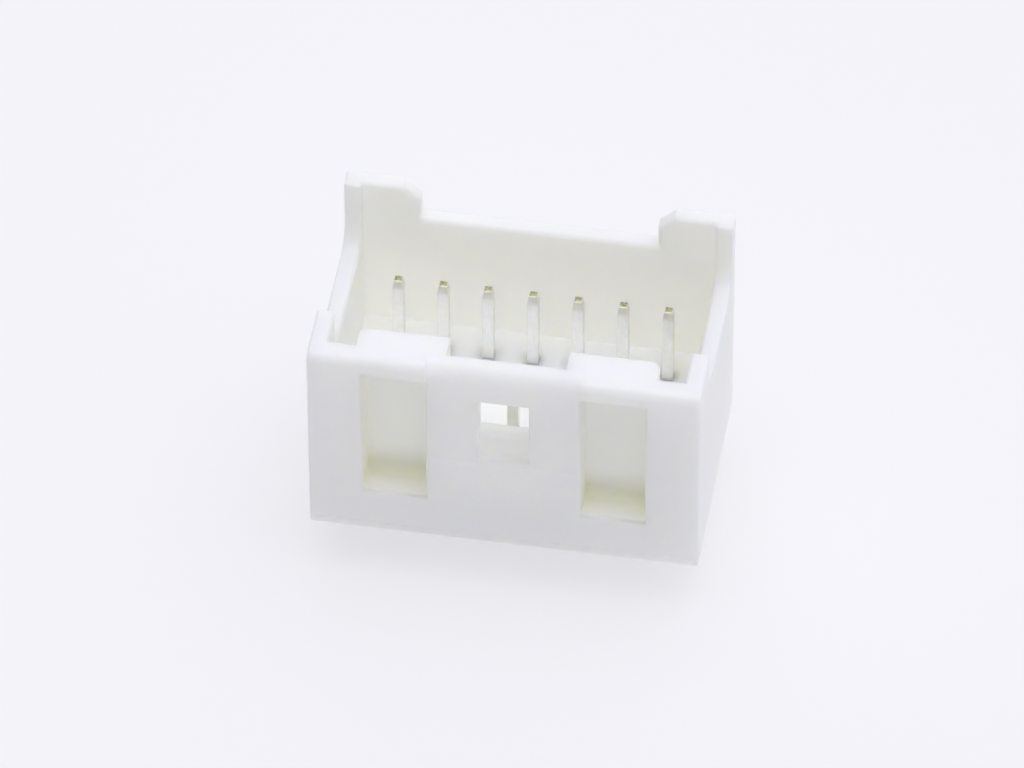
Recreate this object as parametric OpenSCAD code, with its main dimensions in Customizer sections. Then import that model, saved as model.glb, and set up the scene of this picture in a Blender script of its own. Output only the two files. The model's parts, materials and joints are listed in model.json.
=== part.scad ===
// Shrouded upright header for a wire-to-board plug: two rows of square pins in a moulded housing.
// X runs along the rows, Y from the latch face to the back and Z up from the board.
// The origin is the middle of the pin field, on the face that sits on the board.

/* [Pins] */
// Number of pins in each row
columns = 7; // [6:1:12]
// Distance between neighbouring pins of a row
pitch = 2; // [1.8:0.05:2.5]
// Distance between the two rows
row_gap = 5.3; // [4.8:0.1:6]
// Side of the square pin
pin_w = 0.5; // [0.42:0.02:0.62]
// Side of the sheared end of a pin
pin_end_w = 0.34; // [0.2:0.02:0.4]
// Length of the taper at each end of a pin
pin_taper = 0.45; // [0.2:0.05:0.8]
// Height of a pin above the floor of the cavity
pin_reach = 4.1; // [3:0.1:4.6]
// Length of the solder tail under the board face
tail_reach = 2.8; // [2.4:0.1:4.5]
// Gap between a pin and each side of its hole
pin_gap = 0.04; // [0.03:0.01:0.12]
// Height above the board of the wings that grip the hole
wing_z = 1.2; // [0.6:0.1:1.6]
// Height of the wings themselves
wing_h = 0.9; // [0.5:0.1:1]

/* [Housing] */
// Distance from the last pin of a row to the end of the housing
end_reach = 2.6; // [2.4:0.05:3.2]
// Distance from the latch face to the front row
front_reach = 2.9; // [2.7:0.05:3.4]
// Distance from the back row to the back face
back_reach = 2.2; // [1.8:0.05:2.8]
// Height of the cavity floor
floor_h = 3.3; // [2.8:0.1:3.8]
// Height of the front wall and its corner posts
front_h = 10.5; // [9.9:0.1:11.2]
// Height of the side walls between post and ear
side_h = 8.2; // [7.6:0.1:8.8]
// Height of the back wall between the ears
back_h = 9.7; // [9.3:0.05:10.3]
// Height of the ears
ear_h = 11.55; // [11.3:0.05:12.5]
// Thickness of the front wall
front_wall = 1; // [0.85:0.05:1.2]
// Thickness of the side walls
side_wall = 0.8; // [0.65:0.05:1.1]
// Thickness of the back wall
back_wall = 0.7; // [0.5:0.05:0.9]
// Radius of the upright outer corners
corner_r = 0.12; // [0.06:0.02:0.4]
// Radius along the top edge of the latch face
front_r = 0.45; // [0.2:0.05:0.6]
// Height of the bevel round the foot
foot_bevel_h = 0.5; // [0.2:0.05:0.8]
// Depth of the bevel round the foot
foot_bevel_d = 0.1; // [0.05:0.01:0.2]

/* [Posts and ears] */
// Depth of the corner posts, from the latch face
post_d = 2.8; // [2.3:0.1:3.4]
// Length of an ear along the back wall
ear_w = 3.35; // [2.4:0.05:4]
// Depth of an ear along the side wall
ear_d = 0.95; // [0.92:0.01:1.4]
// Bevel on the top inner corner of an ear
ear_bevel = 0.75; // [0.3:0.05:0.9]
// Radius between a side wall and its ear
ear_fillet_r = 1.1; // [0.5:0.1:1.5]
// Radius of the upright inner edge at the front of an ear
ear_edge_r = 0.2; // [0.05:0.05:0.25]
// Radius along the inner top edge of the back wall and ears
rim_r = 0.25; // [0.1:0.05:0.4]

/* [Keys and pockets] */
// Distance from the end of the housing to a key
key_end = 2; // [1.6:0.05:2.4]
// Length of a key along the front wall
key_w = 4; // [3.6:0.05:4.2]
// Distance that a key stands into the cavity
key_reach = 1.05; // [0.9:0.05:1.15]
// Bevel on the outer upright edge of a key
key_bevel = 0.3; // [0.1:0.05:0.6]
// Distance from the end of the housing to a pocket
pocket_end = 2.35; // [2.1:0.05:2.5]
// Length of a pocket in the latch face
pocket_w = 2.85; // [2.4:0.05:3.2]
// Depth of a pocket
pocket_d = 1.6; // [0.8:0.05:1.65]
// Height of the lower edge of a pocket
pocket_z = 2.3; // [1.4:0.1:3]
// Height of a pocket
pocket_h = 7.3; // [6:0.1:7.6]

/* [Latch window] */
// Width of the window
window_w = 2.24; // [1.6:0.04:2.8]
// Height of the window sill
window_z = 6.6; // [6:0.1:7]
// Height of the window
window_h = 2.05; // [1.4:0.05:2.4]
// Radius of the rounded sill
sill_r = 0.6; // [0.3:0.05:0.7]
// Height of the lower end of the recess and of the middle panel
panel_z = 4.9; // [4.2:0.1:5.2]
// Depth to which the middle panel is set back
panel_d = 0.1; // [0.04:0.02:0.2]
// Height of the ramp at the foot of the middle panel
panel_ramp_h = 0.3; // [0.1:0.05:0.6]
// Radius along the top edge of the middle panel
panel_r = 0.8; // [0.5:0.05:0.85]

/* [Hidden] */
$fn = 48;
// Overrun of every cut past the face that it opens
over = 1;
plastic = "#ECEBE6";
tin = "#C8C6BA";

half_l = (columns - 1) * pitch / 2 + end_reach;
depth = front_reach + row_gap + back_reach;
front_y = -row_gap / 2 - front_reach;
ear_y = depth - ear_d;
hole_w = pin_w + 2 * pin_gap;
tip_z = floor_h + pin_reach;
// The middle panel reaches from pocket to pocket
panel_x = half_l - pocket_end - pocket_w;
// The round on the middle panel is limited by the wall that carries it
panel_edge_r = min(panel_r, front_wall - panel_d);
// The round on an ear is limited by its step from the back wall
ear_step_r = min(ear_edge_r, ear_d - back_wall);

// Extrudes an outline drawn in Y and Z along X, from one X to another
module along_x(from, to) {
    translate([from, 0, 0])
        rotate([90, 0, 90])
            linear_extrude(to - from)
                children();
}

// Extrudes an outline drawn in X and Z along Y, from one Y to another
module along_y(from, to) {
    translate([0, to, 0])
        rotate([90, 0, 0])
            linear_extrude(to - from)
                children();
}

// Repeats its children at both ends of the housing
module both_ends() {
    children();
    mirror([1, 0, 0]) children();
}

// Waste outside a round of radius r on a corner whose solid lies right of and below the origin
module round_waste(r) {
    difference() {
        translate([-over, -r])
            square([r + over, r + over]);
        translate([r, -r])
            circle(r);
    }
}

// Outline of the housing from above, Y counted from the latch face
module plan_outline() {
    translate([-half_l, corner_r])
        square([2 * half_l, depth - 2 * corner_r]);
    translate([corner_r - half_l, 0])
        square([2 * (half_l - corner_r), depth]);
    for (x = [corner_r - half_l, half_l - corner_r], y = [corner_r, depth - corner_r])
        translate([x, y])
            circle(corner_r);
}

// Outline of the housing from its end: post, low side wall, fillet and ear
module end_outline() {
    difference() {
        polygon([
            [foot_bevel_d, 0],
            [depth - foot_bevel_d, 0],
            [depth, foot_bevel_h],
            [depth, ear_h],
            [ear_y, ear_h],
            [ear_y, side_h],
            [post_d, side_h],
            [post_d, front_h],
            [0, front_h],
            [0, foot_bevel_h]
        ]);
        translate([0, front_h])
            round_waste(front_r);
    }
    difference() {
        translate([ear_y - ear_fillet_r, side_h - front_wall])
            square([ear_fillet_r + ear_d / 2, ear_fillet_r + front_wall]);
        translate([ear_y - ear_fillet_r, side_h + ear_fillet_r])
            circle(ear_fillet_r);
    }
}

// Outline of the housing from the front, with the bevel round the foot
module front_outline() {
    polygon([
        [foot_bevel_d - half_l, 0],
        [half_l - foot_bevel_d, 0],
        [half_l, foot_bevel_h],
        [half_l, ear_h],
        [-half_l, ear_h],
        [-half_l, foot_bevel_h]
    ]);
}

// Outline of one key from above
module key_outline() {
    key_outer = half_l - key_end;
    key_inner = key_outer - key_w;
    key_y = front_wall + key_reach;
    polygon([
        [key_inner, 0],
        [key_outer, 0],
        [key_outer, key_y - key_bevel],
        [key_outer - key_bevel, key_y],
        [key_inner, key_y]
    ]);
}

// Space for the plug: all inside the walls, less the two keys
module cavity() {
    translate([0, 0, floor_h])
        linear_extrude(ear_h)
            difference() {
                translate([side_wall - half_l, front_wall])
                    square([2 * (half_l - side_wall), depth - front_wall - back_wall]);
                both_ends() key_outline();
            }
}

// Pocket that cores out one key from the latch face
module pocket() {
    translate([panel_x, -over, pocket_z])
        cube([pocket_w, pocket_d + over, pocket_h]);
}

// Latch window with its rounded sill and the recess under it
module window() {
    recess_d = front_wall - sill_r;
    along_x(-window_w / 2, window_w / 2) {
        translate([-over, window_z])
            square([front_wall + 2 * over, window_h]);
        translate([-over, panel_z])
            square([recess_d + over, window_z - panel_z]);
        translate([recess_d, window_z])
            round_waste(sill_r);
    }
}

// Waste in front of the middle panel, above its ramp, and over its rounded top
module panel_waste() {
    along_x(-panel_x, panel_x) {
        polygon([
            [-over, panel_z - panel_ramp_h],
            [0, panel_z - panel_ramp_h],
            [panel_d, panel_z],
            [panel_d, front_h + over],
            [-over, front_h + over]
        ]);
        translate([panel_d, front_h])
            round_waste(panel_edge_r);
    }
}

// Gap in the back wall between the ears, whose top inner corners are bevelled
module ear_gap() {
    gap_x = half_l - ear_w;
    along_y(ear_y - ear_fillet_r, depth + over)
        polygon([
            [-gap_x, back_h],
            [gap_x, back_h],
            [gap_x, ear_h - ear_bevel],
            [gap_x + ear_bevel, ear_h],
            [gap_x + ear_bevel, ear_h + over],
            [-gap_x - ear_bevel, ear_h + over],
            [-gap_x - ear_bevel, ear_h],
            [-gap_x, ear_h - ear_bevel]
        ]);
}

// Waste along the inner top edge of the back wall and of the ears
module rim_waste() {
    rim_y = depth - back_wall;
    gap_x = half_l - ear_w;
    along_x(-gap_x, gap_x)
        translate([rim_y, back_h])
            round_waste(rim_r);
    both_ends()
        along_x(gap_x, half_l - side_wall)
            translate([rim_y, ear_h])
                round_waste(rim_r);
}

// Waste at the upright inner edge of one ear's front
module ear_edge_waste() {
    translate([half_l - side_wall, ear_y, side_h + ear_fillet_r])
        linear_extrude(ear_h)
            mirror([0, 1])
                round_waste(ear_step_r);
}

// Square hole for one pin, Y counted from the latch face
module pin_hole(x, y) {
    translate([x - hole_w / 2, y - hole_w / 2, -over])
        cube([hole_w, hole_w, floor_h + 2 * over]);
}

// Place of a pin along its row
function column_x(column) = (column - (columns + 1) / 2) * pitch;

// Moulded housing
module housing() {
    color(plastic)
        translate([0, front_y, 0])
            difference() {
                intersection() {
                    linear_extrude(ear_h)
                        plan_outline();
                    along_x(-half_l, half_l)
                        end_outline();
                    along_y(0, depth)
                        front_outline();
                }
                cavity();
                both_ends() pocket();
                window();
                panel_waste();
                ear_gap();
                rim_waste();
                both_ends() ear_edge_waste();
                for (i = [1 : columns], y = [front_reach, front_reach + row_gap])
                    pin_hole(column_x(i), y);
            }
}

// Right half of a pin's outline, from the tail's end to the tip, with wings out to wing_x
function half_pin(wing_x) = [
    [pin_end_w / 2, -tail_reach],
    [pin_w / 2, pin_taper - tail_reach],
    [pin_w / 2, wing_z],
    [wing_x, wing_z + pin_gap],
    [wing_x, wing_z + wing_h],
    [pin_w / 2, wing_z + wing_h],
    [pin_w / 2, tip_z - pin_taper],
    [pin_end_w / 2, tip_z]
];

// Whole outline of a pin
module pin_outline(wing_x) {
    right = half_pin(wing_x);
    left = [for (i = [len(right) - 1 : -1 : 0]) [-right[i].x, right[i].y]];
    polygon(concat(right, left));
}

// Square pin with tapered ends, pressed into its hole by two wings
module pin(column, row_y) {
    color(tin)
        translate([column_x(column), row_y, 0])
            intersection() {
                along_y(-pin_w, pin_w)
                    pin_outline(hole_w / 2);
                along_x(-pin_w, pin_w)
                    pin_outline(pin_w / 2);
            }
}

housing();
for (i = [1 : columns]) {
    pin(i, -row_gap / 2);
    pin(i, row_gap / 2);
}
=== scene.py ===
"""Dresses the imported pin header: a softly rounded moulded housing and fourteen plated pins.

The pieces are modelled in millimetres with bmesh operators, brought to metres and put in place of their
solids. The set is a pale floor inside a soft light tent, seen by a long lens from above and a little to
the right.
"""

import json
import logging
import math
from dataclasses import dataclass
from enum import Enum
from typing import Iterable

import bmesh
import bpy
from bmesh.types import BMEdge, BMesh, BMFace, BMVert
from mathutils import Matrix, Vector

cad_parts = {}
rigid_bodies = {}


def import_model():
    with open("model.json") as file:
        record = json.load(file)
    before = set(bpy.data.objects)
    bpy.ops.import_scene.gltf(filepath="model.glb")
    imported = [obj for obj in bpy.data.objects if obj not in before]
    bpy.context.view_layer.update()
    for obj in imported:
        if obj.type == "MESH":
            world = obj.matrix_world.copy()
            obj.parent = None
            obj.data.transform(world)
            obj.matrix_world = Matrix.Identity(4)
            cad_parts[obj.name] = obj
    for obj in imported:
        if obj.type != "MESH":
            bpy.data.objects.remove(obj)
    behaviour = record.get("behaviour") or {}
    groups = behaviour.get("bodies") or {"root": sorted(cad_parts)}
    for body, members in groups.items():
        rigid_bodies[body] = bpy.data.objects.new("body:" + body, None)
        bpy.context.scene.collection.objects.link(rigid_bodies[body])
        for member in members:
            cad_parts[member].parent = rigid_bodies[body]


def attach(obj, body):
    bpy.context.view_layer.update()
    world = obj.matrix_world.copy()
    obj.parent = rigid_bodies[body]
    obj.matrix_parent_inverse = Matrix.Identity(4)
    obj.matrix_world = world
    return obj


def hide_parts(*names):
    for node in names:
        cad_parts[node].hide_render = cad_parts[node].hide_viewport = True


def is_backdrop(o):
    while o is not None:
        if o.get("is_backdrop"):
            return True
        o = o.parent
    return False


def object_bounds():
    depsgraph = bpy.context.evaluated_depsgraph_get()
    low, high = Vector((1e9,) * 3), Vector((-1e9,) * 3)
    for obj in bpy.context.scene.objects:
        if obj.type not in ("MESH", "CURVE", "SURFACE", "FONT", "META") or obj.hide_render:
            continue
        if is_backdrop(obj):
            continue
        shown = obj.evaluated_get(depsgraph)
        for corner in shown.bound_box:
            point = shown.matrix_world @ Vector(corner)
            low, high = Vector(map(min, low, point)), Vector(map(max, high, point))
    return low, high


LOG = logging.getLogger("pin_header")
BODY = "root"
# One millimetre in metres
MM = 0.001
# Two places on a form count as one within this distance, in millimetres
NEAR = 0.002
# Points closer than this are merged
DOUBLED = NEAR / 4
# A place beyond the whole object, in millimetres
FAR = 1e3
# Faces that meet at a smaller angle lie in one plane
FLAT_ANGLE = math.radians(0.2)
# Edges that meet at a smaller angle lie in one line
STRAIGHT_ANGLE = math.radians(1)
# Faces that meet at a larger angle may have a shallow crease between them
CREASE_ANGLE = math.radians(5)
# Faces that meet at a larger angle have a sharp edge between them
SHARP_ANGLE = math.radians(25)
# Edges of a pin that shade as sharp, after its rounding
PIN_SHARP_ANGLE = math.radians(40)
# Share of a direction's length along an axis from which it counts as pointing along it
MOSTLY = 0.9
# A bevel of one strip is flat
FLAT_BEVEL = 1
# Value about which noise varies
MIDDLE = 0.5
# Most bounces of light of all kinds, and of light from matt surfaces
BOUNCES = 32
DIFFUSE_BOUNCES = 24

Colour = tuple[float, float, float]
Range = tuple[float, float]


class Axis(Enum):
    """The three directions of the shared frame."""

    X = 0
    Y = 1
    Z = 2


class Row(Enum):
    """The two rows of pins, by the start of their names."""

    FRONT = "front_pin"
    BACK = "back_pin"


class Slot(Enum):
    """The record's material slots."""

    PLASTIC = "white_plastic"
    PIN = "tinned_pin"


@dataclass(frozen=True)
class Grain:
    """Cloudy noise: the width of a cloud in millimetres, the number of finer layers and their strength."""

    width: float
    detail: float = 2.0
    roughness: float = 0.5


class Field:
    """A shader socket that takes part in Python arithmetic; each operator adds a Math node."""

    def __init__(self, tree: "ShaderTree", socket: bpy.types.NodeSocket) -> None:
        """Wraps one output socket of a tree."""
        self.tree = tree
        self.socket = socket

    def __add__(self, other: "Field | float") -> "Field":
        """Adds a value."""
        return self.tree.math("ADD", self, other)

    def __radd__(self, other: float) -> "Field":
        """Is added to a number."""
        return self.tree.math("ADD", other, self)

    def __sub__(self, other: "Field | float") -> "Field":
        """Takes a value away."""
        return self.tree.math("SUBTRACT", self, other)

    def __rsub__(self, other: float) -> "Field":
        """Is taken from a number."""
        return self.tree.math("SUBTRACT", other, self)

    def __mul__(self, other: "Field | float") -> "Field":
        """Multiplies by a value."""
        return self.tree.math("MULTIPLY", self, other)

    def __rmul__(self, other: float) -> "Field":
        """Multiplies a number."""
        return self.tree.math("MULTIPLY", other, self)

    def __truediv__(self, other: "Field | float") -> "Field":
        """Divides by a value."""
        return self.tree.math("DIVIDE", self, other)

    def __rtruediv__(self, other: float) -> "Field":
        """Divides a number."""
        return self.tree.math("DIVIDE", other, self)

    def __pow__(self, other: "Field | float") -> "Field":
        """Is raised to a power."""
        return self.tree.math("POWER", self, other)

    def __rpow__(self, other: float) -> "Field":
        """Raises a number to itself."""
        return self.tree.math("POWER", other, self)

    def larger(self, other: "Field | float") -> "Field":
        """Gives the larger of two values."""
        return self.tree.math("MAXIMUM", self, other)

    def smaller(self, other: "Field | float") -> "Field":
        """Gives the smaller of two values."""
        return self.tree.math("MINIMUM", self, other)

    def ramp(self, start: float, end: float) -> "Field":
        """Rises from 0 at start to 1 at end, and is held beyond them.

        Args:
            start: Value at which the result is 0.
            end: Value at which the result is 1; it may lie below start.

        Returns:
            The held ramp.
        """
        return ((self - start) / (end - start)).larger(0.0).smaller(1.0)


class ShaderTree:
    """The node tree of one material or of the world."""

    def __init__(self, owner: bpy.types.Material | bpy.types.World) -> None:
        """Empties the owner's tree and keeps it for new nodes."""
        owner.use_nodes = True
        self.nodes = owner.node_tree.nodes
        self.links = owner.node_tree.links
        self.nodes.clear()

    def node(self, kind: str, settings: dict | None = None, inputs: dict | None = None) -> bpy.types.Node:
        """Adds any node.

        Args:
            kind: The node's type.
            settings: Its settings by name, set before its sockets.
            inputs: Values or links of its sockets, by name or number.

        Returns:
            The new node.
        """
        made = self.nodes.new(kind)
        for name, value in (settings or {}).items():
            setattr(made, name, value)
        for key, value in (inputs or {}).items():
            if isinstance(value, Field):
                self.links.new(value.socket, made.inputs[key])
            else:
                made.inputs[key].default_value = value
        return made

    def field(self, kind: str, output: str | int, settings: dict | None = None,
              inputs: dict | None = None) -> Field:
        """Adds any node and wraps one of its outputs.

        Args:
            kind: The node's type.
            output: Name or number of the output.
            settings: Its settings by name.
            inputs: Values or links of its sockets.

        Returns:
            The wrapped output.
        """
        return Field(self, self.node(kind, settings, inputs).outputs[output])

    def math(self, operation: str, first: Field | float, second: Field | float) -> Field:
        """Adds one Math node on two values."""
        return self.field("ShaderNodeMath", 0, {"operation": operation}, {0: first, 1: second})

    def mix(self, factor: Field, first: Colour | Field, second: Colour | Field) -> Field:
        """Mixes two colours.

        Args:
            factor: 0 gives the first colour, 1 the second.
            first: A colour or a link.
            second: A colour or a link.

        Returns:
            The mixed colour.
        """
        pair = [value if isinstance(value, Field) else (*value, 1.0) for value in (first, second)]
        return self.field("ShaderNodeMix", 2, {"data_type": "RGBA"}, {0: factor, 6: pair[0], 7: pair[1]})

    def place(self, stretch: tuple[float, float, float] = (1.0, 1.0, 1.0)) -> Field:
        """Gives Object coordinates, stretched along the axes."""
        where = self.field("ShaderNodeTexCoord", "Object")
        return self.field("ShaderNodeMapping", "Vector", {}, {"Vector": where, "Scale": stretch})

    def part(self, place: Field, axis: Axis) -> Field:
        """Gives one coordinate of a place, in millimetres."""
        return self.field("ShaderNodeSeparateXYZ", axis.name, {}, {"Vector": place}) / MM

    def noise(self, place: Field, grain: Grain) -> Field:
        """Gives cloudy noise.

        Args:
            place: Coordinates in metres.
            grain: The width of its clouds and its finer layers.

        Returns:
            Noise of about 0 to 1.
        """
        inputs = {"Vector": place, "Scale": 1.0 / (grain.width * MM), "Detail": grain.detail,
                  "Roughness": grain.roughness}
        return self.field("ShaderNodeTexNoise", 0, {}, inputs)

    def relief(self, height: Field, depth: float, below: Field | None = None) -> Field:
        """Turns a height of 0 to 1 into a normal.

        Args:
            height: The relief.
            depth: Its depth in millimetres.
            below: A normal that this relief lies on.

        Returns:
            The new normal.
        """
        inputs: dict = {"Height": height, "Distance": depth * MM, "Strength": 1.0}
        if below is not None:
            inputs["Normal"] = below
        return self.field("ShaderNodeBump", "Normal", {}, inputs)

    def seen(self) -> Field:
        """Gives 1 to rays that show the scene, also in metal and glass, and 0 to rays that light it."""
        rays = self.node("ShaderNodeLightPath").outputs
        straight, glossy, through = (Field(self, rays[name]) for name in
                                     ("Is Camera Ray", "Is Glossy Ray", "Is Transmission Ray"))
        return (straight + glossy + through).smaller(1.0)

    def principled(self, inputs: dict) -> Field:
        """Adds a Principled shader with these sockets."""
        return self.field("ShaderNodeBsdfPrincipled", "BSDF", {}, inputs)

    def surface(self, shader: Field) -> None:
        """Ends a material's tree in a shader."""
        self.node("ShaderNodeOutputMaterial", {}, {"Surface": shader})


@dataclass(frozen=True)
class MouldedNylon:
    """Natural white nylon as it leaves the mould: satin, faintly clouded and a little translucent.

    Along the fold at the bottom of the front pockets, a warmer, darker painted shade is mixed into its
    colour. It stands in for the shade there and for the light thrown to and fro.
    The fold is the pockets' inner bottom corner, and its place and ends are in millimetres.
    """

    name: str = "moulded_nylon"
    clear: Colour = (0.986, 0.986, 0.925)
    cloudy: Colour = (0.981, 0.981, 0.910)
    cloud: Grain = Grain(3.5, 3.0)
    cloud_range: Range = (0.3, 0.7)
    spark: Grain = Grain(0.06, 2.0, 0.6)
    spark_depth: float = 0.0012
    wave: Grain = Grain(0.9, 1.0)
    wave_depth: float = 0.004
    satin: float = 0.4
    satin_spread: float = 0.12
    ior: float = 1.53
    glow: float = 0.8
    glow_reach: Colour = (3.4, 3.2, 2.0)
    glow_scale: float = 1.0
    # Painted shade, warmer and darker, mixed in along the fold of the front pockets, and its reach in
    # millimetres
    painted_fold_shade: Colour = (0.90, 0.897, 0.745)
    painted_shade_reach: float = 1.65
    fold_y: float = -3.95
    fold_z: float = 2.3
    fold_wall: float = 0.2
    fold_end: float = 6.5

    def material(self) -> bpy.types.Material:
        """Builds the material."""
        made = bpy.data.materials.new(self.name)
        tree = ShaderTree(made)
        place = tree.place()
        clouds = tree.noise(place, self.cloud)
        fine = tree.noise(place, self.spark)
        waves = tree.noise(place, self.wave)
        normal = tree.relief(waves, self.wave_depth)
        normal = tree.relief(fine, self.spark_depth, normal)
        body = tree.mix(clouds.ramp(*self.cloud_range), self.clear, self.cloudy)
        uneven = (fine - MIDDLE) * self.satin_spread + (clouds - MIDDLE) * self.satin_spread
        tree.surface(tree.principled({
            # The base colour carries painted warm shade in the fold of the front pockets
            "Base Color": tree.mix(self.painted_shade_share(tree, place), body, self.painted_fold_shade),
            "Roughness": self.satin + uneven,
            "Normal": normal,
            "IOR": self.ior,
            "Subsurface Weight": self.glow,
            "Subsurface Radius": self.glow_reach,
            "Subsurface Scale": self.glow_scale * MM,
        }))
        return made

    def painted_shade_share(self, tree: ShaderTree, place: Field) -> Field:
        """Gives the share of the painted warm shade: 1 in the fold of the front pockets, falling to 0 away
        from it and outside the pockets.

        Args:
            tree: The material's tree.
            place: Coordinates in metres.

        Returns:
            The share of the painted warm shade.
        """
        along, across, up = (tree.part(place, axis) for axis in Axis)
        away = ((across - self.fold_y) ** 2.0 + (up - self.fold_z) ** 2.0) ** 0.5
        before = across.ramp(self.fold_y + 2 * self.fold_wall, self.fold_y + self.fold_wall)
        within = along.larger(0.0 - along).ramp(self.fold_end + self.fold_wall, self.fold_end)
        return away.ramp(self.painted_shade_reach, 0.0) * before * within


@dataclass(frozen=True)
class TinOverBrass:
    """Bright tin plate on a drawn brass pin, worn on the coined ends and cut through on the sheared faces.

    The wear starts and is full at shares of the taper's height from each end.
    """

    tip: float
    tail: float
    taper: float
    name: str = "tin_over_brass"
    tin: Colour = (0.91, 0.91, 0.89)
    dull_tin: Colour = (0.80, 0.80, 0.77)
    coined: Colour = (0.82, 0.81, 0.76)
    brass: Colour = (0.52, 0.51, 0.31)
    tarnish: Colour = (0.27, 0.27, 0.14)
    line: Grain = Grain(0.03, 2.0, 0.6)
    line_stretch: float = 0.02
    line_depth: float = 0.00008
    bloom: Grain = Grain(0.35, 3.0)
    dull_line: float = 0.7
    dull_bloom: float = 0.5
    dull_range: Range = (0.4, 0.9)
    worn_range: Range = (1.15, 0.8)
    worn_least: float = 0.55
    worn_bloom: float = 0.6
    worn_roughness: float = 0.12
    spot: Grain = Grain(0.11, 2.0, 0.6)
    spot_range: Range = (0.48, 0.62)
    shine: float = 0.22
    dullness: float = 0.38
    cut_roughness: float = 0.5
    cut_depth: float = 0.006

    def material(self) -> bpy.types.Material:
        """Builds the material."""
        made = bpy.data.materials.new(self.name)
        tree = ShaderTree(made)
        place = tree.place()
        drawn = tree.noise(tree.place((1.0, 1.0, self.line_stretch)), self.line)
        bloom = tree.noise(place, self.bloom)
        height = tree.part(place, Axis.Z)
        cut = self.at_ends(height, self.cut_depth, self.cut_depth / 2)
        start, full = (share * self.taper for share in self.worn_range)
        ends = self.at_ends(height, start, full)
        worn = ends * (self.worn_least + self.worn_bloom * bloom).smaller(1.0)
        dull = (self.dull_line * drawn + self.dull_bloom * bloom).ramp(*self.dull_range)
        plate = tree.mix(dull, self.tin, self.dull_tin)
        spots = tree.noise(place, self.spot)
        sheared = tree.mix(spots.ramp(*self.spot_range), self.brass, self.tarnish)
        spread = self.dullness - self.shine
        shaft = self.shine + spread * ((drawn + bloom) / 2) + self.worn_roughness * ends
        tree.surface(tree.principled({
            "Base Color": tree.mix(cut, tree.mix(worn, plate, self.coined), sheared),
            "Metallic": 1.0,
            "Roughness": shaft * (1.0 - cut) + self.cut_roughness * cut,
            "Normal": tree.relief(drawn, self.line_depth),
        }))
        return made

    def at_ends(self, height: Field, start: float, full: float) -> Field:
        """Rises from 0 to 1 towards both ends of the pin.

        Args:
            height: Height on the pin.
            start: Distance from an end at which the result is 0.
            full: Distance from an end at which the result is 1.

        Returns:
            The rise at both ends.
        """
        return (height.ramp(self.tip - start, self.tip - full)
                + height.ramp(self.tail + start, self.tail + full))


@dataclass(frozen=True)
class PaleFloor:
    """Matt pale sheet under the header; a lit backing lifts its shadows where the camera sees it."""

    name: str = "pale_floor"
    light: Colour = (0.90, 0.90, 0.91)
    shade: Colour = (0.89, 0.89, 0.90)
    backing: Colour = (0.905, 0.898, 0.945)
    lift: float = 0.65
    cloud: Grain = Grain(60.0)
    cloud_range: Range = (0.3, 0.7)
    roughness: float = 0.9

    def material(self) -> bpy.types.Material:
        """Builds the material."""
        made = bpy.data.materials.new(self.name)
        tree = ShaderTree(made)
        clouds = tree.noise(tree.place(), self.cloud)
        sheet = tree.principled({
            "Base Color": tree.mix(clouds.ramp(*self.cloud_range), self.light, self.shade),
            "Roughness": self.roughness,
            "Specular IOR Level": 0.0,
        })
        backing = tree.field("ShaderNodeEmission", 0, {}, {"Color": (*self.backing, 1.0), "Strength": 1.0})
        shown = {0: tree.seen() * self.lift, 1: sheet, 2: backing}
        tree.surface(tree.field("ShaderNodeMixShader", 0, {}, shown))
        return made


@dataclass(frozen=True)
class SoftPanel:
    """One soft panel of the tent: where it hangs, how narrow it is and how bright in its middle."""

    towards: tuple[float, float, float]
    focus: float
    strength: float

    def light(self, tree: ShaderTree, towards: Field) -> Field:
        """Gives the panel's light from a direction of the tent."""
        facing = tree.field("ShaderNodeVectorMath", "Value", {"operation": "DOT_PRODUCT"},
                            {0: towards, 1: self.towards})
        return facing.larger(0.0) ** self.focus * self.strength


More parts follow.
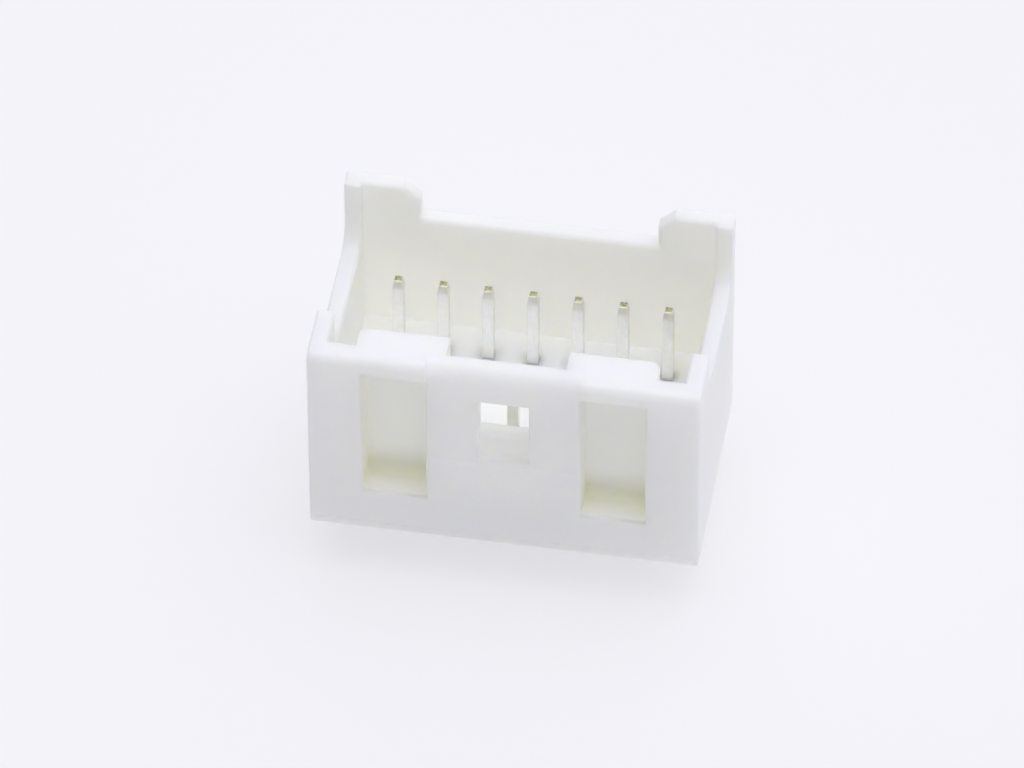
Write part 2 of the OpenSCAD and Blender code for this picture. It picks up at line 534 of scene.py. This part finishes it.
class Form:
    """A bmesh under work, in millimetres, with the few operations that the pieces need."""

    def __init__(self) -> None:
        """Starts with nothing."""
        self.mesh: BMesh = bmesh.new()

    def box(self, low: Iterable[float], high: Iterable[float]) -> list[BMVert]:
        """Adds a box between two corners.

        Args:
            low: Its lowest corner.
            high: Its highest corner.

        Returns:
            Its points.
        """
        low, high = Vector(low), Vector(high)
        matrix = Matrix.Translation((low + high) / 2) @ Matrix.Diagonal((*(high - low), 1.0))
        return bmesh.ops.create_cube(self.mesh, size=1.0, matrix=matrix)["verts"]

    def joined(self, other: "Form") -> None:
        """Takes in another form, which is then used up."""
        mesh = bpy.data.meshes.new("joined_form")
        other.mesh.to_mesh(mesh)
        other.mesh.free()
        self.mesh.from_mesh(mesh)
        bpy.data.meshes.remove(mesh)

    def cut_level(self, height: float) -> None:
        """Cuts every face along a level plane."""
        bmesh.ops.bisect_plane(self.mesh, geom=[*self.mesh.verts, *self.mesh.edges, *self.mesh.faces],
                               plane_co=(0.0, 0.0, height), plane_no=(0.0, 0.0, 1.0))

    def moved(self, verts: list[BMVert], way: tuple[float, float, float]) -> None:
        """Moves points by a way along the three axes."""
        bmesh.ops.translate(self.mesh, vec=Vector(way), verts=verts)

    def drawn_out(self, faces: list[BMFace], keep: bool = False) -> list[BMVert]:
        """Draws faces out by no distance yet.

        Args:
            faces: The faces.
            keep: Whether the faces also stay behind, as the start of a piece.

        Returns:
            The points of the drawn-out faces, to be moved.
        """
        made = bmesh.ops.extrude_face_region(self.mesh, geom=faces)
        if not keep:
            bmesh.ops.delete(self.mesh, geom=faces, context="FACES_ONLY")
        return [item for item in made["geom"] if isinstance(item, BMVert)]

    def flat_edges_joined(self) -> None:
        """Merges doubled points, joins faces that lie in one plane and takes out points on straight edges."""
        bmesh.ops.remove_doubles(self.mesh, verts=self.mesh.verts, dist=DOUBLED)
        bmesh.ops.dissolve_limit(self.mesh, angle_limit=FLAT_ANGLE, verts=self.mesh.verts,
                                 edges=self.mesh.edges, use_dissolve_boundaries=False)
        straight = [vert for vert in self.mesh.verts
                    if len(vert.link_edges) == 2 and vert.calc_edge_angle(math.pi) < STRAIGHT_ANGLE]
        bmesh.ops.dissolve_verts(self.mesh, verts=straight)

    def runs(self, axis: Axis, near: dict[Axis, float], low: float = -FAR,
             high: float = FAR) -> list[BMEdge]:
        """Finds the edges that run along an axis at a given place.

        Args:
            axis: The direction of the edges.
            near: Their distance along the two other axes; a key that is left out fits any value.
            low: Lowest place of an edge's middle along the axis.
            high: Highest place of an edge's middle along the axis.

        Returns:
            The edges, in no order.
        """
        found = []
        for edge in self.mesh.edges:
            first, second = (vert.co for vert in edge.verts)
            across = [other.value for other in Axis if other is not axis]
            if any(abs(first[i] - second[i]) > NEAR for i in across):
                continue
            if any(abs(first[other.value] - value) > NEAR for other, value in near.items()):
                continue
            if low <= (first[axis.value] + second[axis.value]) / 2 <= high:
                found.append(edge)
        return found

    def rounded(self, edges: list[BMEdge], radius: float, segments: int) -> None:
        """Rounds edges, or bevels them flat where there is one segment.

        Args:
            edges: The edges.
            radius: Radius, or width of the bevel, in millimetres.
            segments: Number of strips round the edge.
        """
        if not edges:
            raise ValueError("no edge was found to round")
        bmesh.ops.bevel(self.mesh, geom=edges, offset=radius, offset_type="OFFSET", affect="EDGES",
                        segments=segments, profile=0.5, material=-1, clamp_overlap=False)

    def carved(self, cores: "Form") -> None:
        """Takes other closed shapes out of this one.

        Args:
            cores: The shapes to take out; they may overlap each other.
        """
        body, tool = self.loose_object("carved_body"), cores.loose_object("carving_tool")
        carve = body.modifiers.new("carve", "BOOLEAN")
        carve.operation, carve.solver, carve.use_self, carve.object = "DIFFERENCE", "EXACT", True, tool
        result = bpy.data.meshes.new_from_object(body.evaluated_get(bpy.context.evaluated_depsgraph_get()))
        self.mesh.clear()
        self.mesh.from_mesh(result)
        for piece in (body, tool):
            mesh = piece.data
            bpy.data.objects.remove(piece)
            bpy.data.meshes.remove(mesh)
        bpy.data.meshes.remove(result)
        self.flat_edges_joined()

    def loose_object(self, name: str) -> bpy.types.Object:
        """Puts the form as it is into an object of the scene."""
        mesh = bpy.data.meshes.new(name)
        self.mesh.to_mesh(mesh)
        piece = bpy.data.objects.new(name, mesh)
        bpy.context.scene.collection.objects.link(piece)
        return piece

    def finished(self, name: str) -> bpy.types.Object:
        """Brings the form to metres and makes it a piece.

        Args:
            name: The piece's name.

        Returns:
            The piece, at the origin.
        """
        bmesh.ops.recalc_face_normals(self.mesh, faces=self.mesh.faces)
        for face in self.mesh.faces:
            face.smooth = True
        bmesh.ops.scale(self.mesh, vec=Vector((MM, MM, MM)), verts=self.mesh.verts)
        piece = self.loose_object(name)
        self.mesh.free()
        return piece


@dataclass
class Housing:
    """The moulded housing: floor, walls, posts, keys cored by pockets, latch window and ears."""

    finish: MouldedNylon
    holes: list[tuple[float, float]]
    node: str = "housing"
    half_length: float = 8.6
    front: float = -5.55
    back: float = 4.85
    floor_top: float = 3.3
    front_top: float = 10.5
    side_top: float = 8.2
    back_top: float = 9.7
    ear_top: float = 11.55
    front_wall: float = 1.0
    side_wall: float = 0.8
    back_wall: float = 0.7
    foot_height: float = 0.5
    foot_step: float = 0.1
    post_depth: float = 2.8
    ear_length: float = 3.35
    ear_depth: float = 0.95
    ear_bevel: float = 0.75
    ear_fillet: float = 1.1
    key_end: float = 2.0
    key_length: float = 4.0
    key_reach: float = 1.05
    key_bevel: float = 0.3
    pocket_end: float = 2.35
    pocket_length: float = 2.85
    pocket_depth: float = 1.6
    pocket_foot: float = 2.3
    pocket_height: float = 7.3
    pocket_round: float = 0.55
    window_width: float = 2.24
    window_sill: float = 6.6
    window_height: float = 2.05
    sill_round: float = 0.5
    sill_depth: float = 0.6
    recess_slope: float = 0.9
    line_foot: float = 0.38
    line_depth: float = 0.06
    panel_foot: float = 4.9
    panel_ramp: float = 0.3
    panel_step: float = 0.1
    panel_round: float = 0.8
    front_round: float = 0.45
    corner_round: float = 0.12
    rim_round: float = 0.22
    inner_round: float = 0.16
    edge_round: float = 0.08
    hole_side: float = 0.54
    sharp_end: float = 0.35
    sharp_parts: int = 3
    ear_strips: int = 10
    sill_strips: int = 8
    pocket_strips: int = 8
    panel_strips: int = 10
    front_strips: int = 5
    edge_strips: int = 4
    over: float = 1.0

    @property
    def inner_x(self) -> float:
        """Distance of the side walls' inner faces from the middle."""
        return self.half_length - self.side_wall

    @property
    def key_outer(self) -> float:
        """Distance of the keys' outer ends from the middle."""
        return self.half_length - self.key_end

    @property
    def gap_x(self) -> float:
        """Distance of the ears' inner ends from the middle."""
        return self.half_length - self.ear_length

    @property
    def pocket_outer(self) -> float:
        """Distance of the pockets' outer ends from the middle."""
        return self.half_length - self.pocket_end

    @property
    def half_panel(self) -> float:
        """Half of the middle panel's width, which ends at the pockets."""
        return self.pocket_outer - self.pocket_length

    @property
    def wall_y(self) -> float:
        """Place of the front wall's inner face."""
        return self.front + self.front_wall

    @property
    def key_y(self) -> float:
        """Place of the keys' backs."""
        return self.wall_y + self.key_reach

    @property
    def recess_y(self) -> float:
        """Place of the back of the recess under the window."""
        return self.wall_y - self.sill_depth

    @property
    def pocket_y(self) -> float:
        """Place of the pockets' backs."""
        return self.front + self.pocket_depth

    @property
    def panel_y(self) -> float:
        """Place of the middle panel's face."""
        return self.front + self.panel_step

    @property
    def ear_y(self) -> float:
        """Place of the ears' fronts."""
        return self.back - self.ear_depth

    @property
    def pocket_top(self) -> float:
        """Height of the pockets' upper ends."""
        return self.pocket_foot + self.pocket_height

    @property
    def ramp_foot(self) -> float:
        """Height of the lower end of the panel's ramp."""
        return self.panel_foot - self.panel_ramp

    def build(self) -> bpy.types.Object:
        """Models the housing."""
        form = self.block()
        form.carved(self.cores())
        form.carved(self.rounding_cores())
        self.shape_large_edges(form)
        self.weigh_small_edges(form)
        self.part_sharp_edges(form)
        piece = form.finished("moulded_housing")
        soften = piece.modifiers.new("soft_edges", "BEVEL")
        soften.limit_method = "WEIGHT"
        soften.offset_type = "OFFSET"
        soften.width = self.rim_round * MM
        soften.segments = self.edge_strips
        soften.profile = 0.5
        soften.use_clamp_overlap = False
        even = piece.modifiers.new("even_shading", "WEIGHTED_NORMAL")
        even.keep_sharp = True
        return piece

    def block(self) -> Form:
        """Makes the solid block with its tapered foot."""
        form = Form()
        form.box((-self.half_length, self.front, 0.0), (self.half_length, self.back, self.ear_top))
        form.cut_level(self.foot_height)
        foot = [vert for vert in form.mesh.verts if vert.co.z < NEAR]
        middle = (self.front + self.back) / 2
        for vert in foot:
            inward = math.copysign(self.foot_step, middle - vert.co.y)
            form.moved([vert], (0.0, inward, 0.0))
        return form

    def cores(self) -> Form:
        """Makes everything that the mould leaves out of the block; the cores overlap each other."""
        cores = Form()
        above = self.ear_top + self.over
        before = self.front - self.over
        key_inner = self.key_outer - self.key_length
        cores.box((-self.inner_x, self.key_y, self.floor_top),
                  (self.inner_x, self.back - self.back_wall, above))
        for low, high in ((-self.inner_x, -self.key_outer), (-key_inner, key_inner),
                          (self.key_outer, self.inner_x)):
            cores.box((low, self.wall_y, self.floor_top), (high, self.key_y + NEAR, above))
        past_x = self.half_length + self.over
        post_y = self.front + self.post_depth
        cores.box((-past_x, post_y, self.side_top), (past_x, self.ear_y, above))
        cores.box((-self.gap_x, self.key_y, self.back_top), (self.gap_x, self.back + self.over, above))
        for low, high in ((-self.pocket_outer, -self.half_panel), (self.half_panel, self.pocket_outer)):
            cores.box((low, before, self.pocket_foot), (high, self.pocket_y, self.pocket_top))
        half_window = self.window_width / 2
        cores.box((-half_window, before, self.window_sill),
                  (half_window, self.wall_y + NEAR, self.window_sill + self.window_height))
        recess = cores.box((-half_window, self.front, self.panel_foot - self.panel_step),
                           (half_window, self.recess_y, self.window_sill + NEAR))
        heel = [vert for vert in recess
                if vert.co.z < self.panel_foot and vert.co.y > self.recess_y - NEAR]
        cores.moved(heel, (0.0, 0.0, self.recess_slope))
        line_x = self.half_length - self.rim_round
        line = cores.box((-line_x, before, self.line_foot),
                         (line_x, self.front + self.line_depth, self.foot_height))
        heel = [vert for vert in line if vert.co.z < self.line_foot + NEAR and vert.co.y > self.front]
        cores.moved(heel, (0.0, -self.line_depth, 0.0))
        half_hole = self.hole_side / 2
        for x, y in self.holes:
            cores.box((x - half_hole, y - half_hole, -self.over),
                      (x + half_hole, y + half_hole, self.floor_top + NEAR))
        return cores

    def rounding_cores(self) -> Form:
        """Makes the cores that cut the front down to its height, over the middle panel and beside it."""
        past_x = self.half_length + self.over
        cores = self.panel_core()
        for low, high in ((-past_x, -self.half_panel), (self.half_panel, past_x)):
            cores.joined(self.edge_core(low, high, self.front, self.front_round, self.front_strips,
                                        self.over))
        return cores

    def edge_core(self, low: float, high: float, front: float, radius: float, strips: int,
                  depth: float) -> Form:
        """Makes a core for the front's top: a slab before the wall and one above it, filled round between.

        Args:
            low: Its start along X.
            high: Its end along X.
            front: The wall's front.
            radius: Radius that it leaves on the wall's edge.
            strips: Number of strips round that edge.
            depth: How far the front slab reaches down.

        Returns:
            The core.
        """
        core = Form()
        core.box((low, front - self.over, self.front_top - depth), (high, front, self.ear_top + self.over))
        core.cut_level(self.front_top)
        upper = [face for face in core.mesh.faces
                 if min(vert.co.y for vert in face.verts) > front - NEAR
                 and face.calc_center_median().z > self.front_top]
        reach = self.front + self.post_depth + NEAR - front
        core.moved(core.drawn_out(upper), (0.0, reach, 0.0))
        bmesh.ops.recalc_face_normals(core.mesh, faces=core.mesh.faces)
        core.rounded(core.runs(Axis.X, {Axis.Y: front, Axis.Z: self.front_top}), radius, strips)
        return core

    def panel_core(self) -> Form:
        """Makes the core that sets the middle panel back, with a ramp at its foot and a round at its top."""
        core = self.edge_core(-self.half_panel, self.half_panel, self.panel_y, self.panel_round,
                              self.panel_strips, self.front_top - self.ramp_foot)
        core.cut_level(self.panel_foot)
        heel = [vert for vert in core.mesh.verts
                if vert.co.z < self.ramp_foot + NEAR and vert.co.y > self.panel_y - NEAR]
        core.moved(heel, (0.0, -self.panel_step, 0.0))
        return core

    def shape_large_edges(self, form: Form) -> None:
        """Bevels and rounds the edges whose shape reads from afar, and parts the panel's sides at their top.

        Args:
            form: The carved housing.
        """
        for side in (-1.0, 1.0):
            key_corner = form.runs(Axis.Z, {Axis.X: side * self.key_outer, Axis.Y: self.key_y})
            form.rounded(key_corner, self.key_bevel, FLAT_BEVEL)
            ear_corner = form.runs(Axis.Y, {Axis.X: side * self.gap_x, Axis.Z: self.ear_top})
            form.rounded(ear_corner, self.ear_bevel, FLAT_BEVEL)
        for y, z, radius, strips in (
                (self.ear_y, self.side_top, self.ear_fillet, self.ear_strips),
                (self.recess_y, self.window_sill, self.sill_round, self.sill_strips),
                (self.pocket_y, self.pocket_foot, self.pocket_round, self.pocket_strips)):
            form.rounded(form.runs(Axis.X, {Axis.Y: y, Axis.Z: z}), radius, strips)
        for side in (-1.0, 1.0):
            panel_side = {Axis.X: side * self.half_panel, Axis.Y: self.panel_y}
            for edge in form.runs(Axis.Z, panel_side, self.panel_foot, self.pocket_top):
                upper = max(edge.verts, key=lambda vert: vert.co.z)
                if abs(upper.co.z - self.pocket_top) < NEAR:
                    bmesh.utils.edge_split(edge, upper, self.panel_step / edge.calc_length())

    def radius_of(self, edge: BMEdge) -> float:
        """Gives the small radius of one sharp edge.

        Args:
            edge: A convex edge of the carved housing.

        Returns:
            Its radius in millimetres; 0 leaves it sharp.
        """
        first, second = (vert.co for vert in edge.verts)
        middle = (first + second) / 2
        run = second - first
        x, y, z = abs(middle.x), middle.y, middle.z
        at_panel = abs(x - self.half_panel) < NEAR
        # The panel's upper ends, the rims of the pin holes and the foot stay sharp
        if at_panel and z > self.pocket_top - self.panel_step and y < self.wall_y:
            return 0.0
        if self.in_hole(first) and self.in_hole(second):
            return 0.0
        if z < NEAR or (z < self.foot_height + NEAR and x < self.half_length - self.corner_round):
            return 0.0
        # The panel's sides
        if at_panel and y < self.panel_y + NEAR and z > self.pocket_foot + NEAR:
            return self.inner_round
        # The housing's upright corners and the outer edges of the posts
        upright = abs(run.z) > MOSTLY * run.length
        on_side = x > self.half_length - self.foot_step - NEAR
        at_corner = y < self.front + self.foot_step + NEAR or y > self.back - self.foot_step - NEAR
        if on_side and at_corner and upright:
            return self.corner_round
        if on_side and y < self.front + self.post_depth - NEAR and z > self.front_top - self.front_round:
            return self.corner_round
        # The upper inner edges of the back wall and of the side walls
        if abs(y - self.back + self.back_wall) < NEAR and z > self.back_top - NEAR:
            return self.rim_round
        if abs(x - self.inner_x) < NEAR and z > self.side_top - NEAR:
            return self.inner_round
        return self.edge_round

    def in_hole(self, point: Vector) -> bool:
        """Tells whether a point lies on the rim of a pin hole."""
        half_hole = self.hole_side / 2
        return any(abs(abs(point.x - x) - half_hole) < NEAR and abs(abs(point.y - y) - half_hole) < NEAR
                   for x, y in self.holes)

    def weigh_small_edges(self, form: Form) -> None:
        """Gives convex sharp edges their small radius, as a share of the rim's, and keeps the others sharp.

        Args:
            form: The shaped housing.
        """
        form.mesh.normal_update()
        weights = form.mesh.edges.layers.float.new("bevel_weight_edge")
        for edge in form.mesh.edges:
            angle = edge.calc_face_angle(0.0)
            if angle > SHARP_ANGLE:
                radius = self.radius_of(edge) if edge.is_convex else 0.0
                edge[weights] = radius / self.rim_round
                edge.smooth = radius > 0
            elif angle > CREASE_ANGLE:
                edge.smooth = not self.is_crease(edge)

    def part_sharp_edges(self, form: Form) -> None:
        """Parts sharp edges near their ends and cuts across there, so that only narrow strips shade round.

        Args:
            form: The weighed housing.
        """
        ends: list[BMVert] = []
        for edge in [edge for edge in form.mesh.edges if not edge.smooth]:
            length = edge.calc_length()
            if length > self.sharp_parts * self.sharp_end:
                first, second = edge.verts
                other, near_first = bmesh.utils.edge_split(edge, first, self.sharp_end / length)
                longer = max((edge, other), key=lambda part: part.calc_length())
                _, near_second = bmesh.utils.edge_split(longer, second, self.sharp_end / longer.calc_length())
                ends += [near_first, near_second]
        bmesh.ops.connect_verts(form.mesh, verts=ends, check_degenerate=True)

    def is_crease(self, edge: BMEdge) -> bool:
        """Tells whether an edge is a shallow crease: on the foot, or above or below the panel's ramp."""
        levels = (self.foot_height, self.line_foot, self.panel_foot, self.ramp_foot)
        return any(all(abs(vert.co.z - level) < NEAR for vert in edge.verts) for level in levels)

    def dress(self, piece: bpy.types.Object) -> None:
        """Gives the piece its finish and its place in the frame."""
        piece.data.materials.append(self.finish.material())
        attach(piece, BODY)
        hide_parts(self.node)


@dataclass
class PinField:
    """Two rows of square pins, pressed through the floor."""

    columns: int = 7
    pitch: float = 2.0
    row_gap: float = 5.3
    side: float = 0.5
    end_side: float = 0.34
    taper: float = 0.45
    tip: float = 7.4
    tail: float = -2.8
    wing_foot: float = 1.2
    wing_height: float = 0.9
    wing_reach: float = 0.02
    edge_round: float = 0.03
    edge_strips: int = 2

    def places(self) -> list[tuple[float, float]]:
        """Gives the middle of each pin, row by row."""
        return [self.place(row, column) for row in Row for column in range(1, self.columns + 1)]

    def place(self, row: Row, column: int) -> tuple[float, float]:
        """Gives the middle of one pin."""
        y = self.row_gap / 2 if row is Row.BACK else -self.row_gap / 2
        return ((column - (self.columns + 1) / 2) * self.pitch, y)

    def build(self, row: Row, column: int) -> bpy.types.Object:
        """Models one pin: a square bar drawn up ring by ring, with two wings inside its hole.

        Args:
            row: The pin's row.
            column: Its number in the row, from 1.

        Returns:
            The piece.
        """
        form = Form()
        x, y = self.place(row, column)
        base = bmesh.ops.create_grid(form.mesh, x_segments=1, y_segments=1, size=self.end_side / 2,
                                     matrix=Matrix.Translation((x, y, self.tail)))
        end = base["verts"][0].link_faces[0]
        wide = self.side / self.end_side
        rings = ((self.tail + self.taper, wide), (self.wing_foot, 1.0),
                 (self.wing_foot + self.wing_height, 1.0), (self.tip - self.taper, 1.0),
                 (self.tip, 1.0 / wide))
        for height, spread in rings:
            end = self.drawn_up(form, end, height, spread)
        bmesh.ops.recalc_face_normals(form.mesh, faces=form.mesh.faces)
        form.mesh.normal_update()
        sharp = [edge for edge in form.mesh.edges if edge.calc_face_angle(0.0) > SHARP_ANGLE]
        form.rounded(sharp, self.edge_round, self.edge_strips)
        self.add_wings(form)
        piece = form.finished(f"{row.name.lower()}_row_pin_{column}")
        piece.data.set_sharp_from_angle(angle=PIN_SHARP_ANGLE)
        even = piece.modifiers.new("even_shading", "WEIGHTED_NORMAL")
        even.keep_sharp = True
        return piece

    def drawn_up(self, form: Form, face: BMFace, height: float, spread: float) -> BMFace:
        """Draws a face up to a height.

        Args:
            form: The pin.
            face: The face at its present end.
            height: Height of the new end.
            spread: Size of the new end as a share of the old one.

        Returns:
            The face at the new end.
        """
        verts = form.drawn_out([face], keep=face.calc_center_median().z < self.tail + NEAR)
        middle = sum((vert.co for vert in verts), Vector()) / len(verts)
        bmesh.ops.scale(form.mesh, vec=Vector((spread, spread, 1.0)), verts=verts,
                        space=Matrix.Translation(-middle))
        form.moved(verts, (0.0, 0.0, height - middle.z))
        return next(end for end in verts[0].link_faces if all(vert in verts for vert in end.verts))

    def add_wings(self, form: Form) -> None:
        """Raises the two wings that grip the hole.

        Args:
            form: The pin.
        """
        wing_middle = self.wing_foot + self.wing_height / 2
        for side in (-1.0, 1.0):
            grips = [face for face in form.mesh.faces
                     if face.normal.x * side > MOSTLY
                     and abs(face.calc_center_median().z - wing_middle) < NEAR]
            made = bmesh.ops.extrude_discrete_faces(form.mesh, faces=grips)
            for face in made["faces"]:
                for vert in face.verts:
                    lift = self.wing_reach if vert.co.z < wing_middle else 0.0
                    vert.co += Vector((side * self.wing_reach, 0.0, lift))

    def dress(self, piece: bpy.types.Object, material: bpy.types.Material, row: Row, column: int) -> None:
        """Gives one pin its finish and its place in the frame.

        Args:
            piece: The pin.
            material: The finish, which all pins share.
            row: The pin's row.
            column: Its number in the row.
        """
        piece.data.materials.append(material)
        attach(piece, BODY)
        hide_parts(f"{row.value}_{column}")


@dataclass
class LightTent:
    """A pale floor in a white tent, lit from above and more weakly from all round."""

    finish: PaleFloor
    reach: float = 0.8
    squares: int = 8
    tint: Colour = (0.994, 0.994, 1.055)
    backdrop: float = 0.91
    panels: tuple[SoftPanel, ...] = (
        SoftPanel((0.0, 0.0, 1.0), 8.0, 2.63),
        SoftPanel((0.0, 1.0, 0.0), 2.0, 1.20),
        SoftPanel((0.6, 0.0, 0.8), 6.0, 0.98),
        SoftPanel((0.0, -0.6, 0.8), 6.0, 0.60),
        SoftPanel((-1.0, 0.0, 0.0), 2.0, 0.09),
    )

    def build(self, floor_height: float) -> bpy.types.Object:
        """Lays the floor and hangs the tent.

        Args:
            floor_height: Height of the floor in metres.

        Returns:
            The floor.
        """
        sheet = bmesh.new()
        bmesh.ops.create_grid(sheet, x_segments=self.squares, y_segments=self.squares, size=self.reach,
                              matrix=Matrix.Translation((0.0, 0.0, floor_height)))
        mesh = bpy.data.meshes.new("floor_sheet")
        sheet.to_mesh(mesh)
        sheet.free()
        floor = bpy.data.objects.new("floor_sheet", mesh)
        bpy.context.scene.collection.objects.link(floor)
        mesh.materials.append(self.finish.material())
        floor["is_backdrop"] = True
        self.hang()
        return floor

    def hang(self) -> None:
        """Makes the world's light, with a pale backdrop where the camera looks past the floor."""
        world = bpy.data.worlds.new("light_tent")
        bpy.context.scene.world = world
        tree = ShaderTree(world)
        towards = tree.field("ShaderNodeTexCoord", "Generated")
        lit = sum(panel.light(tree, towards) for panel in self.panels)
        light = lit.larger(tree.seen() * self.backdrop)
        glow = tree.field("ShaderNodeBackground", 0, {}, {"Color": (*self.tint, 1.0), "Strength": light})
        tree.node("ShaderNodeOutputWorld", {}, {"Surface": glow})


@dataclass
class PhotoCamera:
    """A long lens, above the header and a little to its right."""

    azimuth: float = 9.529
    elevation: float = 46.100
    roll: float = -0.1666
    distance: float = 434.30
    focal_pixels: float = 9940.9
    aim: tuple[float, float, float] = (0.0, -0.70, 5.5)
    aim_pixel: tuple[float, float] = (521.008, 378.554)
    frame_width: int = 1024
    frame_height: int = 768
    sensor: float = 36.0
    clip: Range = (0.01, 20.0)

    def build(self) -> bpy.types.Object:
        """Places the camera and makes it the scene's own."""
        azimuth, elevation, roll = map(math.radians, (self.azimuth, self.elevation, self.roll))
        ahead = Vector((-math.sin(azimuth) * math.cos(elevation), math.cos(azimuth) * math.cos(elevation),
                        -math.sin(elevation)))
        level = ahead.cross(Vector((0.0, 0.0, 1.0))).normalized()
        rise = level.cross(ahead)
        right = math.cos(roll) * level + math.sin(roll) * rise
        up = -math.sin(roll) * level + math.cos(roll) * rise
        per_pixel = self.distance / self.focal_pixels
        across = (self.aim_pixel[0] - self.frame_width / 2) * per_pixel
        down = (self.aim_pixel[1] - self.frame_height / 2) * per_pixel
        stand = Vector(self.aim) - self.distance * ahead - across * right + down * up
        lens = bpy.data.cameras.new("photo_lens")
        lens.sensor_fit = "HORIZONTAL"
        lens.sensor_width = self.sensor
        lens.lens = self.focal_pixels * self.sensor / self.frame_width
        lens.clip_start, lens.clip_end = self.clip
        camera = bpy.data.objects.new("photo_camera", lens)
        matrix = Matrix((right, up, -ahead)).transposed().to_4x4()
        matrix.translation = stand * MM
        camera.matrix_world = matrix
        bpy.context.scene.collection.objects.link(camera)
        bpy.context.scene.camera = camera
        return camera


def corners() -> list[list[float]]:
    """Gives the shown object's lowest and highest corner as plain lists."""
    return [list(corner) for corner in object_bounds()]


def empty_scene() -> None:
    """Takes away whatever a new file starts with."""
    for item in list(bpy.data.objects):
        bpy.data.objects.remove(item)


def settle_light() -> None:
    """Lets light bounce often enough to fill a white cavity."""
    bpy.context.scene.cycles.max_bounces = BOUNCES
    bpy.context.scene.cycles.diffuse_bounces = DIFFUSE_BOUNCES


def report(piece: bpy.types.Object) -> None:
    """Reports one piece and its number of faces."""
    LOG.info("%s: %d faces before its modifiers", piece.name, len(piece.data.polygons))


def main() -> None:
    """Builds the header piece by piece, then the set."""
    logging.basicConfig(level=logging.INFO, format="%(message)s")
    empty_scene()
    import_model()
    cad_box = corners()
    bpy.context.scene.view_settings.view_transform = "Standard"
    settle_light()
    PhotoCamera().build()
    pins = PinField()
    housing = Housing(finish=MouldedNylon(), holes=pins.places())
    shell = housing.build()
    housing.dress(shell)
    report(shell)
    plate = TinOverBrass(tip=pins.tip, tail=pins.tail, taper=pins.taper).material()
    for row in Row:
        for column in range(1, pins.columns + 1):
            pin = pins.build(row, column)
            pins.dress(pin, plate, row, column)
            report(pin)
    LightTent(finish=PaleFloor()).build(cad_box[0][2])


if __name__ == "__main__":
    main()
